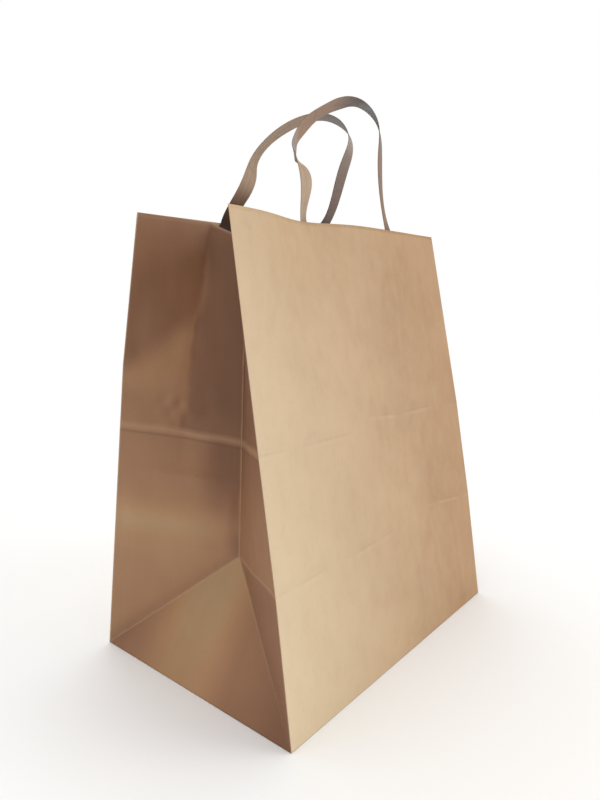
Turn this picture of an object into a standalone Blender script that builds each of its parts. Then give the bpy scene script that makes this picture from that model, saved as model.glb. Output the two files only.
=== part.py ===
"""Paper carrier bag: one folded kraft sheet with gusseted sides and a block bottom,
two flat paper handles, and the paper strips that glue their ends inside the mouth."""

import math

import bpy
import numpy as np

# Sheet sizes, in metres
BAG_WIDTH = 0.260
BAG_DEPTH = 0.180
BAG_HEIGHT = 0.320
PAPER = 0.00016
GLUE_GAP = 0.0003

# Folds. The base was folded up against the front panel, so that panel and the front
# halves of the gussets carry a crease at half the bag's depth.
HALF_GUSSET = BAG_DEPTH / 2
UPPER_CREASE = 0.1715
BACK_BEND = 0.2146
FRONT_LEANS = (math.radians(8.14), math.radians(9.55), math.radians(10.64))
BACK_LEANS = (math.radians(6.46), math.radians(8.08))
GUSSET_TRIANGLE_SLOPE = math.radians(57.0)
SOFT_CREASE_FROM_BACK = 0.0517
LEFT_GUSSET_DRAW = 0.89
RIGHT_GUSSET_DRAW = 0.985

# The handles have pulled each panel inwards a little beside one leg.
MOUTH_PULL = 0.0255
FRONT_DENT_AT = -0.047
FRONT_DENT_LEAN = math.radians(3.5)
BACK_DENT_AT = 0.054
BACK_DENT_LEAN = math.radians(6.0)
DENT_REACH = 0.039

# Block bottom: two flaps with mitred ends, glued where they overlap. Each one bites into
# the floor above it by part of the paper's thickness.
FLAP_OVERLAP = 0.022
FLAP_INSET = 0.0005
INNER_FLAP_BITE = 0.4 * PAPER
OUTER_FLAP_BITE = 0.6 * PAPER

# Handle tape, its two legs, and the strip that holds them
TAPE_WIDTH = 0.0125
TAPE_THICKNESS = 0.0007
LEG_SPACING = 0.0995
FRONT_LEG_SHIFT = 0.0083
REAR_LEG_SHIFT = 0.0045
HANDLE_RISE = 0.095
LEG_GLUED = 0.040
STRIP_WIDTH = 0.150
STRIP_HEIGHT = 0.045
STRIP_DROP = 0.010
STRIP_STEP = 0.0016
MOUTH_EASE = 0.0003

# Facet sizes
PANEL_FACET = 0.010
WALL_FACET = 0.050
GUSSET_FACET = 0.024
TAPE_FACET = 0.0026

# Each handle's loop, leg to leg: place across as a share of half the leg spacing, lean
# towards the middle of the bag and height as shares of the rise, and twist in degrees.
FRONT_LOOP = (
    (-1.027, 0.096, 0.249, 2),
    (-1.056, 0.139, 0.400, 23),
    (-1.083, 0.180, 0.456, 43),
    (-1.076, 0.193, 0.488, 31),
    (-1.015, 0.208, 0.581, 28),
    (-0.850, 0.210, 0.686, 27),
    (-0.427, 0.192, 0.854, 45),
    (0.048, 0.140, 0.968, 56),
    (0.357, 0.092, 0.974, 98),
    (0.613, 0.033, 0.859, 138),
    (0.761, 0.043, 0.627, 162),
)
REAR_LOOP = (
    (-0.953, 0.195, 0.247, 174),
    (-0.831, 0.201, 0.368, 177),
    (-0.631, 0.160, 0.525, 203),
    (-0.002, 0.305, 0.849, 227),
    (0.603, 0.516, 0.894, 289),
    (0.778, 0.586, 0.772, 332),
    (0.805, 0.529, 0.540, 362),
    (0.984, 0.236, 0.057, 370),
)
FRONT_TWIST_AT_MOUTH = (17, 169)
REAR_TWIST_AT_MOUTH = (173, 375)

BASE_LEVEL = 2 * PAPER
FRONT = 1
BACK = -1
FLAP_BITES = {FRONT: INNER_FLAP_BITE, BACK: OUTER_FLAP_BITE}
LEG_SHIFTS = {FRONT: FRONT_LEG_SHIFT, BACK: REAR_LEG_SHIFT}


def clear_scene():
    for item in list(bpy.data.objects):
        bpy.data.objects.remove(item, do_unlink=True)


def make_collection(name):
    group = bpy.data.collections.new(name)
    bpy.context.scene.collection.children.link(group)
    return group


def paper_material(name, colour, roughness):
    material = bpy.data.materials.new(name)
    material.use_nodes = True
    shader = material.node_tree.nodes["Principled BSDF"]
    shader.inputs["Base Color"].default_value = (*colour, 1.0)
    shader.inputs["Roughness"].default_value = roughness
    shader.inputs["Metallic"].default_value = 0.0
    return material


def divided(stops, longest):
    """The stops in order, with each gap between them split into equal steps."""
    values = [stops[0]]
    for low, high in zip(stops[:-1], stops[1:]):
        steps = max(1, math.ceil((high - low) / longest - 1e-6))
        values.extend(low + (high - low) * (k + 1) / steps for k in range(steps))
    return np.array(values)


def leg_places(side):
    """Places across the panel of the left and right leg's middle."""
    return LEG_SHIFTS[side] - LEG_SPACING / 2, LEG_SHIFTS[side] + LEG_SPACING / 2


def panel_columns(side):
    """Places across a panel, with one on each edge of a leg and of the strip."""
    stops = [-BAG_WIDTH / 2, LEG_SHIFTS[side] - STRIP_WIDTH / 2]
    for place in leg_places(side):
        stops += [place - TAPE_WIDTH / 2, place + TAPE_WIDTH / 2]
    stops += [LEG_SHIFTS[side] + STRIP_WIDTH / 2, BAG_WIDTH / 2]
    return divided(sorted(stops), PANEL_FACET)


def half_gusset_shares():
    """Shares of half a gusset from its edge, with one on the soft crease."""
    stops = [0.0, SOFT_CREASE_FROM_BACK, HALF_GUSSET]
    return divided(stops, GUSSET_FACET) / HALF_GUSSET


def row_heights():
    """Paper heights of the rows: the gusset's mitre needs the same shares below its tip."""
    low = half_gusset_shares() * HALF_GUSSET
    strip_top = BAG_HEIGHT - STRIP_DROP
    upper = divided([HALF_GUSSET, UPPER_CREASE, BACK_BEND, strip_top - STRIP_HEIGHT], WALL_FACET)
    return np.concatenate([low, upper[1:], strip_rows()[1:], [BAG_HEIGHT]])


def strip_rows():
    """Paper heights of the rows under the glued strip, which has the same rows."""
    top = BAG_HEIGHT - STRIP_DROP
    return divided([top - STRIP_HEIGHT, top], PANEL_FACET * 2)


def wall_point(side, across, height):
    """A point on a panel's outer face: the paper goes up its folds, each stretch with a
    lean of its own, and the last stretch leans further where the handle pulled it in."""
    across = np.asarray(across, float)
    height = np.asarray(height, float)
    if side == FRONT:
        folds = (HALF_GUSSET, UPPER_CREASE, BAG_HEIGHT)
        leans, dent_at, dent_lean = FRONT_LEANS, FRONT_DENT_AT, FRONT_DENT_LEAN
    else:
        folds = (BACK_BEND, BAG_HEIGHT)
        leans, dent_at, dent_lean = BACK_LEANS, BACK_DENT_AT, BACK_DENT_LEAN
    dent = dent_lean * np.exp(-((across - dent_at) / DENT_REACH) ** 2)
    inward = np.zeros(np.broadcast(across, height).shape)
    rise = np.zeros_like(inward)
    start = 0.0
    for end, lean in zip(folds, leans):
        run = np.clip(height, start, end) - start
        angle = lean + (dent if end == folds[-1] else 0.0)
        inward = inward + run * np.sin(angle)
        rise = rise + run * np.cos(angle)
        start = end
    drawn = np.clip(height - folds[-2], 0.0, None) / (BAG_HEIGHT - folds[-2])
    x = across - across * MOUTH_PULL * drawn
    y = side * (inward - BAG_DEPTH / 2)
    return np.stack([x, y, rise + BASE_LEVEL], axis=-1)


def wall_frame(side, across, height):
    """Point on the facet of the panel's outer face at this place, with the directions
    across the facet, up it and inwards. On an edge between facets it averages both."""
    step = PANEL_FACET / 100
    columns = panel_columns(side)
    spans = []
    for place in (across - step, across + step):
        right = int(np.clip(np.searchsorted(columns, place), 1, len(columns) - 1))
        spans.append((columns[right - 1], columns[right]))
    reach = min(height + STRIP_DROP / 2, BAG_HEIGHT)
    along = np.zeros(3)
    up = np.zeros(3)
    for low, high in spans:
        share = (across - low) / (high - low)
        ends = wall_point(side, np.array([low, high]), height)
        below = wall_point(side, np.array([low, high]), reach - STRIP_DROP)
        above = wall_point(side, np.array([low, high]), reach)
        point = ends[0] + (ends[1] - ends[0]) * share
        rise = (above[0] - below[0]) + ((above[1] - below[1]) - (above[0] - below[0])) * share
        along += (ends[1] - ends[0]) / np.linalg.norm(ends[1] - ends[0])
        up += rise / np.linalg.norm(rise)
    along /= np.linalg.norm(along)
    up -= along * (up @ along)
    up /= np.linalg.norm(up)
    return point, along, up, np.cross(up, along) * side


def on_inner_face(side, across, height, stand_off):
    """Point that stands off the panel's inner face by the given distance."""
    point, _, _, inwards = wall_frame(side, across, height)
    return point + inwards * (PAPER + stand_off)


def meeting_point(centres, lengths, towards):
    """Point at the given paper lengths from three points, on the side asked for."""
    first, second, third = (np.asarray(c, float) for c in centres)
    ex = (second - first) / np.linalg.norm(second - first)
    offset = third - first
    ey = offset - ex * (ex @ offset)
    ey /= np.linalg.norm(ey)
    ez = np.cross(ex, ey)
    d = np.linalg.norm(second - first)
    i, j = ex @ offset, ey @ offset
    x = (lengths[0] ** 2 - lengths[1] ** 2 + d * d) / (2 * d)
    y = (lengths[0] ** 2 - lengths[2] ** 2 + i * i + j * j) / (2 * j) - x * i / j
    z = math.sqrt(max(lengths[0] ** 2 - x * x - y * y, 0.0))
    options = [first + ex * x + ey * y + ez * s * z for s in (1, -1)]
    return max(options, key=lambda p: float(p @ np.asarray(towards, float)))


def gusset_half(hand, side, draw):
    """Grid of one half of a gusset, rows up the bag and columns from the panel's edge to
    the middle crease. Below the mitre it is part of the leaning triangle."""
    shares = half_gusset_shares()
    heights = row_heights()
    corner_x = hand * BAG_WIDTH / 2
    edge = wall_point(side, corner_x, heights)
    foot = np.array([corner_x, 0.0, BASE_LEVEL])
    slope = np.array([-hand * math.cos(GUSSET_TRIANGLE_SLOPE), 0.0, math.sin(GUSSET_TRIANGLE_SLOPE)])
    tip = foot + slope * HALF_GUSSET
    front_top = wall_point(FRONT, corner_x, BAG_HEIGHT)
    back_top = wall_point(BACK, corner_x, BAG_HEIGHT)
    top = meeting_point(
        (front_top, back_top, tip),
        (HALF_GUSSET, HALF_GUSSET * draw, BAG_HEIGHT - HALF_GUSSET),
        (-hand, 0.0, 0.0),
    )
    rise = np.clip((heights - HALF_GUSSET) / (BAG_HEIGHT - HALF_GUSSET), 0.0, 1.0)
    crease = tip + (top - tip) * rise[:, None]
    level = np.clip(heights / HALF_GUSSET, 0.0, 1.0)
    corner, mitre_end = edge[0], wall_point(side, corner_x, HALF_GUSSET)

    a = shares[None, :, None]
    b = level[:, None, None]
    triangle = corner + a * (foot - corner) + b * (tip - foot)
    beside = corner + a * (tip - mitre_end) + b * (mitre_end - corner)
    above = edge[:, None, :] + a * (crease - edge)[:, None, :]
    low = np.where(a >= b, triangle, beside)
    grid = np.where(heights[:, None, None] > HALF_GUSSET, above, low)
    if side == BACK:
        grid += soft_bow(shares, rise, crease, edge)
    return grid


def soft_bow(shares, rise, crease, edge):
    """Shift of the back half towards the back panel: its paper is longer than the span
    from the middle crease to the panel's edge, so it bends at a soft upright crease."""
    span = np.linalg.norm(crease - edge, axis=1)
    outer, inner = SOFT_CREASE_FROM_BACK, HALF_GUSSET - SOFT_CREASE_FROM_BACK
    half_sum = (outer + inner + span) / 2
    squared = half_sum * (half_sum - outer) * (half_sum - inner) * (half_sum - span)
    height = 2 * np.sqrt(np.clip(squared, 0.0, None)) / span
    bend = outer / HALF_GUSSET
    tent = np.minimum(shares / bend, (1 - shares) / (1 - bend))
    chord = crease - edge
    normal = np.stack([-chord[:, 1], chord[:, 0], np.zeros(len(chord))], axis=-1)
    normal *= np.sign(normal[:, 1:2])
    normal /= np.linalg.norm(normal, axis=1, keepdims=True)
    amount = (height * np.sqrt(rise))[:, None, None] * tent[None, :, None]
    return amount * normal[:, None, :]


def add_sheet(name, points, faces, thickness, material, group, offset=-1.0):
    """Object from an open sheet of paper, thickened by Solidify."""
    mesh = bpy.data.meshes.new(name)
    mesh.from_pydata([tuple(p) for p in points], [], faces)
    mesh.validate()
    mesh.materials.append(material)
    sheet = bpy.data.objects.new(name, mesh)
    group.objects.link(sheet)
    solid = sheet.modifiers.new("paper", "SOLIDIFY")
    solid.thickness = thickness
    solid.offset = offset
    solid.use_even_offset = True
    solid.use_quality_normals = True
    return sheet


def body_mesh():
    """Points and faces of the folded tube with its closed bottom, faces outwards."""
    heights = row_heights()
    columns = panel_columns(FRONT)
    back_columns = panel_columns(BACK)
    rows = heights[:, None]
    front = wall_point(FRONT, columns[None, :], rows)
    back = wall_point(BACK, back_columns[None, ::-1], rows)
    left_back = gusset_half(-1, BACK, LEFT_GUSSET_DRAW)
    left_front = gusset_half(-1, FRONT, LEFT_GUSSET_DRAW)[:, ::-1]
    right_front = gusset_half(1, FRONT, RIGHT_GUSSET_DRAW)
    right_back = gusset_half(1, BACK, RIGHT_GUSSET_DRAW)[:, ::-1]
    parts = [front, right_front[:, 1:], right_back[:, 1:], back[:, 1:], left_back[:, 1:], left_front[:, 1:-1]]
    ring = np.concatenate(parts, axis=1)
    n_rows, n_cols = ring.shape[:2]

    half = len(half_gusset_shares()) - 1
    right_start = len(columns) - 1
    left_start = right_start + 2 * half + len(back_columns) - 1
    faces = []
    for r in range(n_rows - 1):
        for c in range(n_cols):
            quad = (
                r * n_cols + c,
                r * n_cols + (c + 1) % n_cols,
                (r + 1) * n_cols + (c + 1) % n_cols,
                (r + 1) * n_cols + c,
            )
            faces.extend(mitre_split(quad, r, c, half, (right_start, left_start)))
    faces.append(tuple(reversed(range(n_cols))))
    return ring.reshape(-1, 3), faces


def mitre_split(quad, row, column, half, starts):
    """A gusset quad that the mitre fold crosses, cut along the fold; others whole."""
    low_left, low_right, top_right, top_left = quad
    for start in starts:
        place = column - start
        if row < half and place == row:
            return [(low_left, low_right, top_right), (low_left, top_right, top_left)]
        if row < half and place == 2 * half - 1 - row:
            return [(low_left, low_right, top_left), (low_right, top_right, top_left)]
    return [quad]


def flap_sheet(name, side, level, group, material):
    """Flap of the block bottom: a trapezoid whose mitred ends start at the base's
    corners, as thick as it takes to reach into the floor above it."""
    far = BAG_DEPTH / 2 + FLAP_OVERLAP / 2
    near_half = BAG_WIDTH / 2 - 2 * FLAP_INSET
    far_half = near_half - far
    y_near = side * (FLAP_INSET - BAG_DEPTH / 2)
    y_far = side * FLAP_OVERLAP / 2
    points = [
        (-near_half, y_near, level),
        (near_half, y_near, level),
        (far_half, y_far, level),
        (-far_half, y_far, level),
    ]
    order = (3, 2, 1, 0) if side == FRONT else (0, 1, 2, 3)
    depth = BASE_LEVEL - level + FLAP_BITES[side]
    flap = add_sheet(name, points, [order], depth, material, group)
    flap.hide_render = True
    flap.display_type = "WIRE"
    return flap


def make_body(group, tools):
    kraft = paper_material("kraft_paper_body", (0.56, 0.40, 0.25), 0.75)
    points, faces = body_mesh()
    body = add_sheet("bag_body", points, faces, PAPER, kraft, group)
    for name, side, level in (("inner_flap", FRONT, PAPER), ("outer_flap", BACK, 0.0)):
        flap = flap_sheet(name, side, level, tools, kraft)
        union = body.modifiers.new(name, "BOOLEAN")
        union.operation = "UNION"
        union.solver = "EXACT"
        union.object = flap
    return body


def natural_spline(knots, values, places):
    """Natural cubic spline through values at the knots, read at the places."""
    steps = np.diff(knots)
    n = len(knots)
    system = np.zeros((n, n))
    target = np.zeros((n,) + values.shape[1:])
    system[0, 0] = system[-1, -1] = 1.0
    slopes = np.diff(values, axis=0) / steps.reshape(-1, *([1] * (values.ndim - 1)))
    for k in range(1, n - 1):
        system[k, k - 1 : k + 2] = steps[k - 1], 2 * (steps[k - 1] + steps[k]), steps[k]
        target[k] = 6 * (slopes[k] - slopes[k - 1])
    bends = np.linalg.solve(system, target)
    span = np.clip(np.searchsorted(knots, places, side="right") - 1, 0, n - 2)
    shape = (-1,) + (1,) * (values.ndim - 1)
    step = steps[span].reshape(shape)
    u = ((places - knots[span]) / steps[span]).reshape(shape)
    v = 1 - u
    curve = values[span] * v + values[span + 1] * u
    return curve + ((v**3 - v) * bends[span] + (u**3 - u) * bends[span + 1]) * step**2 / 6


def tape_axes(directions):
    """For each direction of the tape, the level axis across it and the axis nearest +Y."""
    depth_axis = np.array([0.0, 1.0, 0.0])
    nearest = depth_axis - directions * (directions @ depth_axis)[:, None]
    nearest /= np.linalg.norm(nearest, axis=1, keepdims=True)
    return np.cross(nearest, directions), nearest


def handle_grid(side, loop, mouth_twist):
    """Both edges of the tape from one glued end over the loop to the other. Its glued
    legs lie on the panel, and a natural spline through the loop's points joins them."""
    stand_off = GLUE_GAP + TAPE_THICKNESS / 2
    top = BAG_HEIGHT - STRIP_DROP
    middle_x = LEG_SHIFTS[side] * (1 - MOUTH_PULL)
    _, mouth_y, mouth_z = wall_point(side, -BAG_WIDTH / 2, BAG_HEIGHT)
    half_span = LEG_SPACING / 2 * (1 - MOUTH_PULL)
    left, right = leg_places(side)

    left_twist, left_ease = glued_end(side, left, 1, mouth_twist[0])
    right_twist, right_ease = glued_end(side, right, -1, mouth_twist[1])
    knots = [on_inner_face(side, left, top, stand_off)]
    knots.append(on_inner_face(side, left, BAG_HEIGHT, stand_off + left_ease))
    for across, lean, rise, _ in loop:
        x = middle_x + across * half_span
        y = mouth_y + side * lean * HANDLE_RISE
        z = mouth_z + rise * HANDLE_RISE
        knots.append(np.array([x, y, z]))
    knots.append(on_inner_face(side, right, BAG_HEIGHT, stand_off + right_ease))
    knots.append(on_inner_face(side, right, top, stand_off))
    knots = np.array(knots)

    turns = [left_twist, mouth_twist[0]] + [k[3] for k in loop] + [mouth_twist[1], right_twist]
    twist = np.radians(turns)

    lengths = np.concatenate([[0.0], np.cumsum(np.linalg.norm(np.diff(knots, axis=0), axis=1))])
    count = max(12, round(lengths[-1] / TAPE_FACET))
    places = np.linspace(0.0, lengths[-1], count + 1)
    centre = natural_spline(lengths, knots, places)
    small = TAPE_FACET / 100
    ahead = natural_spline(lengths, knots, np.clip(places + small, 0, lengths[-1]))
    behind = natural_spline(lengths, knots, np.clip(places - small, 0, lengths[-1]))
    directions = ahead - behind
    directions /= np.linalg.norm(directions, axis=1, keepdims=True)
    angles = natural_spline(lengths, twist, places)[:, None]
    level, nearest = tape_axes(directions)
    across = np.cos(angles) * level + np.sin(angles) * nearest
    first = centre + across * TAPE_WIDTH / 2
    second = centre - across * TAPE_WIDTH / 2

    loop_edges = np.stack([first, second], axis=1)
    glued = [top - LEG_GLUED] + [h for h in strip_rows()[:-1] if h > top - LEG_GLUED + PANEL_FACET / 4]
    left_leg = [leg_row(side, left, h, stand_off, loop_edges[0]) for h in glued]
    right_leg = [leg_row(side, right, h, stand_off, loop_edges[-1]) for h in glued[::-1]]
    return np.concatenate([left_leg, loop_edges, right_leg])


def glued_end(side, place, way, mouth_twist):
    """Twist of the tape where it leaves the strip, lying on the panel, and how far its
    middle has to ease off the panel by the mouth so that its turned edge clears it."""
    _, along, up, _ = wall_frame(side, place, BAG_HEIGHT - STRIP_DROP)
    level, nearest = tape_axes((way * up)[None, :])
    near = math.radians(mouth_twist)
    across = math.cos(near) * level[0] + math.sin(near) * nearest[0]
    edge = along * math.copysign(1.0, float(across @ along))
    turn = wrapped(math.atan2(float(edge @ nearest[0]), float(edge @ level[0])) - near)
    ease = MOUTH_EASE + TAPE_WIDTH / 2 * abs(math.sin(turn))
    return mouth_twist + math.degrees(turn), ease


def leg_row(side, place, height, stand_off, next_edges):
    """Both edges of a glued leg at a height, in the order of the loop's own edges."""
    _, along, _, _ = wall_frame(side, place, height)
    middle = on_inner_face(side, place, height, stand_off)
    half = along * TAPE_WIDTH / 2
    if float((next_edges[0] - next_edges[1]) @ along) < 0:
        half = -half
    return np.array([middle + half, middle - half])


def wrapped(angle):
    """Angle brought between minus half a turn and half a turn."""
    return (angle + math.pi) % (2 * math.pi) - math.pi


def strip_faces(rows, cols):
    """Quads of a grid with the given numbers of rows and columns of points."""
    return [
        (r * cols + c, r * cols + c + 1, (r + 1) * cols + c + 1, (r + 1) * cols + c)
        for r in range(rows - 1)
        for c in range(cols - 1)
    ]


def make_handle(name, side, loop, mouth_twist, group):
    colour = (0.50, 0.36, 0.24)
    kraft = paper_material("kraft_tape_" + name, colour, 0.7)
    grid = handle_grid(side, loop, mouth_twist)
    faces = strip_faces(*grid.shape[:2])
    return add_sheet(name, grid.reshape(-1, 3), faces, TAPE_THICKNESS, kraft, group, offset=0.0)


def strip_profile(side):
    """Columns of the glued strip and how far each stands off the panel's inner face: it
    lies on the panel and steps over each leg."""
    low = GLUE_GAP + PAPER / 2
    high = low + GLUE_GAP + TAPE_THICKNESS
    clear = TAPE_WIDTH / 2 + GLUE_GAP
    middle, half = LEG_SHIFTS[side], STRIP_WIDTH / 2
    stops = [(middle - half, low), (middle + half, low)]
    for place in leg_places(side):
        stops += [(place - clear - STRIP_STEP, low), (place - clear, high)]
        stops += [(place + clear, high), (place + clear + STRIP_STEP, low)]
    stops.sort()
    places, offsets = np.array(stops).T
    inside = [c for c in panel_columns(side) if abs(c - middle) < half]
    extra = [c for c in inside if np.min(np.abs(places - c)) > GLUE_GAP]
    columns = np.sort(np.concatenate([places, extra]))
    return columns, np.interp(columns, places, offsets)


def make_strip(name, side, group):
    kraft = paper_material("kraft_strip_" + name, (0.54, 0.39, 0.25), 0.8)
    columns, offsets = strip_profile(side)
    rows = [[on_inner_face(side, c, h, o) for c, o in zip(columns, offsets)] for h in strip_rows()]
    grid = np.array(rows)
    faces = strip_faces(*grid.shape[:2])
    return add_sheet(name, grid.reshape(-1, 3), faces, PAPER, kraft, group, offset=0.0)


def main():
    clear_scene()
    bag = make_collection("paper_carrier_bag")
    tools = make_collection("shaping_pieces")
    make_body(bag, tools)
    make_handle("front_handle", FRONT, FRONT_LOOP, FRONT_TWIST_AT_MOUTH, bag)
    make_handle("rear_handle", BACK, REAR_LOOP, REAR_TWIST_AT_MOUTH, bag)
    make_strip("front_handle_strip", FRONT, bag)
    make_strip("rear_handle_strip", BACK, bag)


main()
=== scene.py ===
"""Looks of the kraft paper carrier bag: the folded body, its two twisted tape handles and
the strips that glue them inside the mouth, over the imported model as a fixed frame."""

import math

import bpy
import numpy as np
from mathutils import Matrix


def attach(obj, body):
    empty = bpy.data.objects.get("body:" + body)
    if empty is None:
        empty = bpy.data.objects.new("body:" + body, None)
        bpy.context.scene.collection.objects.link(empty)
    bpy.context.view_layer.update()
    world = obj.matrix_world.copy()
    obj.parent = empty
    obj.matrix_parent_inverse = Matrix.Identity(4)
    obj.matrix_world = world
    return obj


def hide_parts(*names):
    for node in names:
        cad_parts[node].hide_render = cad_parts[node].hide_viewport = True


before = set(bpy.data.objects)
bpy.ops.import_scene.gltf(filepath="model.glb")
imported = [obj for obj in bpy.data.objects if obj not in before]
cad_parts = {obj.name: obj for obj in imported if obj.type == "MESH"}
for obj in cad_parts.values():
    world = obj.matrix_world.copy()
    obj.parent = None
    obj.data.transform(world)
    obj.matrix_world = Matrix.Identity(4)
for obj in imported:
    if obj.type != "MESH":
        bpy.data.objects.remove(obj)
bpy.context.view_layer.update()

# The bag body is one sheet of unbleached kraft paper, creased and glued into a tube with
# folded-in gussets, and closed below by a block bottom of folded flaps. It was packed flat
# with its bottom folded up over the front panel, which left the level creases.
WIDTH = 0.260
DEPTH = 0.180
HEIGHT = 0.320
PAPER = 0.00016
BASE_LEVEL = 2 * PAPER
HALF = DEPTH / 2
UPPER_CREASE = 0.1715
BACK_BEND = 0.2146
FRONT, BACK = 1, -1
LEFT, RIGHT = -1, 1

# Each panel leans in by its own angle up to each of these heights on the sheet, and further
# in a dent at the mouth, where a handle's leg pulls it in: its place and its lean. The
# pull also draws the panel together across at the mouth, by this share of its width.
LEANS = {
    FRONT: ((HALF, UPPER_CREASE, HEIGHT), np.radians((8.14, 9.55, 10.64))),
    BACK: ((BACK_BEND, HEIGHT), np.radians((6.46, 8.08))),
}
DENTS = {FRONT: (-0.047, math.radians(3.5)), BACK: (0.054, math.radians(6.0))}
DENT_REACH = 0.039
MOUTH_PULL = 0.0255

# The triangle at a gusset's foot leans in, and its middle crease is drawn nearer to the back
# panel at the mouth. Its back half has a soft crease too: how far it runs from the back
# panel at the upper crease, the soft bend and the mouth, and how far it is lifted there.
TRIANGLE_SLOPE = math.radians(57.0)
GUSSET_DRAW = {LEFT: 0.89, RIGHT: 0.985}
SOFT_BEND = 0.285
SOFT_CREASES = {LEFT: (0.0460, 0.0590, 0.0640), RIGHT: (0.0517, 0.0517, 0.0517)}
SOFT_LIFTS = {LEFT: math.radians(25.0), RIGHT: 0.0}

# Paper does not fold to a sharp edge: each fold turns over this far on both sides.
FOLD_EASE = 0.0007


def spaced(stops, step, eases):
    """Places from the first stop to the last: every gap between stops is split evenly into
    steps no longer than the given one, and each eased stop gets a close neighbour on both
    sides, so that its fold turns over a small radius."""
    places = [stops[0]]
    for low, high in zip(stops[:-1], stops[1:]):
        count = max(1, math.ceil((high - low) / step - 1e-6))
        places.extend(low + (high - low) * np.arange(1, count + 1) / count)
    places = np.array(places)
    near = np.array([e + d for e in eases for d in (-FOLD_EASE, FOLD_EASE)])
    near = near[(near > stops[0]) & (near < stops[-1])]
    return np.unique(np.round(np.concatenate([places, near]), 7))


def bell(x, centre, reach):
    """Bell curve of height one: e to minus the square of the offset over the reach."""
    return np.exp(-(((x - centre) / reach) ** 2))


def ramp(x, low, high):
    """Smooth step from 0 at low to 1 at high: three times the square less twice the cube of
    how far x has come from one to the other."""
    t = np.clip((x - low) / (high - low), 0.0, 1.0)
    return t * t * (3.0 - 2.0 * t)


def ripple(u, v, size, seed, stretch=1.0):
    """Smooth seeded unevenness between about -1 and 1: a sum of level waves with turned
    directions and lengths round the given size, drawn out up the sheet by the stretch."""
    waves = 10
    draw = np.random.RandomState(seed)
    total = np.zeros(np.broadcast(u, v).shape)
    for _ in range(waves):
        turn, phase = draw.uniform(0, 2 * math.pi, 2)
        rate = 2 * math.pi / (size * draw.uniform(0.7, 1.5))
        total += np.sin(rate * (math.cos(turn) * u + math.sin(turn) * v / stretch) + phase)
    return total / (0.45 * waves)


def wall(side, across, height):
    """Point of a wide panel's outer face: the paper rises through its level folds, each
    stretch leaning in by its own angle, and the stretch below the mouth leans in further
    by a bell curve round the leg that pulls it and is drawn together across."""
    across, height = np.broadcast_arrays(np.asarray(across, float), np.asarray(height, float))
    folds, leans = LEANS[side]
    dent_at, dent_lean = DENTS[side]
    dent = dent_lean * bell(across, dent_at, DENT_REACH)
    starts = (0.0,) + folds[:-1]
    inward = np.zeros(across.shape)
    rise = np.zeros(across.shape)
    for start, end, lean in zip(starts, folds, leans):
        run = np.clip(height, start, end) - start
        angle = lean + dent * (end == HEIGHT)
        inward = inward + run * np.sin(angle)
        rise = rise + run * np.cos(angle)
    drawn = np.clip(height - folds[-2], 0.0, None) / (HEIGHT - folds[-2])
    x = across * (1.0 - MOUTH_PULL * drawn)
    return np.stack([x, side * (inward - HALF), rise + BASE_LEVEL], axis=-1)


def meeting_point(first, second, third, lengths, towards):
    """Point at three known paper lengths from three points, by trilateration."""
    ex = (second - first) / np.linalg.norm(second - first)
    offset = third - first
    ey = offset - ex * (ex @ offset)
    ey /= np.linalg.norm(ey)
    ez = np.cross(ex, ey)
    span = np.linalg.norm(second - first)
    i, j = ex @ offset, ey @ offset
    x = (lengths[0] ** 2 - lengths[1] ** 2 + span**2) / (2 * span)
    y = (lengths[0] ** 2 - lengths[2] ** 2 + i**2 + j**2) / (2 * j) - x * i / j
    z = math.sqrt(max(lengths[0] ** 2 - x * x - y * y, 0.0))
    return max((first + ex * x + ey * y + s * ez * z for s in (1, -1)), key=lambda p: p @ towards)


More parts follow.
